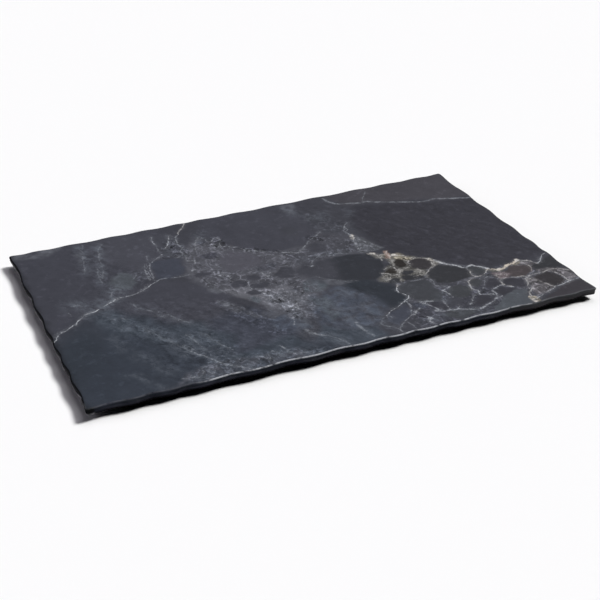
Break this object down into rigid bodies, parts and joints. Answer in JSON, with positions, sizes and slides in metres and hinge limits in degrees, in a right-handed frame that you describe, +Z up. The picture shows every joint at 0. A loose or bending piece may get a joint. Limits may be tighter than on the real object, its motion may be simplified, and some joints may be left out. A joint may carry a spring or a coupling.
{
  "type": "serving platter",
  "caption": "Flat rectangular melamine serving platter with a dark marble-look print, a wavy slate-chipped rim and soft feet that hold it just clear of the table.",
  "frame": {"origin": "on the table, under the middle of the platter", "axes": "+X along the long side to the right, +Y across the short side to the back, +Z up"},
  "size_m": [0.53, 0.325, 0.012],
  "materials": {
    "melamine": "satin black, chipped like slate along the rim",
    "stone_print": "dark grey-blue marble print with pale veins",
    "clear_glaze": "clear satin glaze",
    "silicone": "matt black",
    "adhesive": "grey, hidden in its socket"
  },
  "bodies": {
    "root": {"platter_body": "melamine", "decor_sheet": "stone_print", "glaze_coat": "clear_glaze", "foot_front_left": "silicone", "foot_front_middle": "silicone", "foot_front_right": "silicone", "foot_back_left": "silicone", "foot_back_middle": "silicone", "foot_back_right": "silicone", "adhesive_disc_front_left": "adhesive", "adhesive_disc_front_middle": "adhesive", "adhesive_disc_front_right": "adhesive", "adhesive_disc_back_left": "adhesive", "adhesive_disc_back_middle": "adhesive", "adhesive_disc_back_right": "adhesive"}
  },
  "joints": []
}
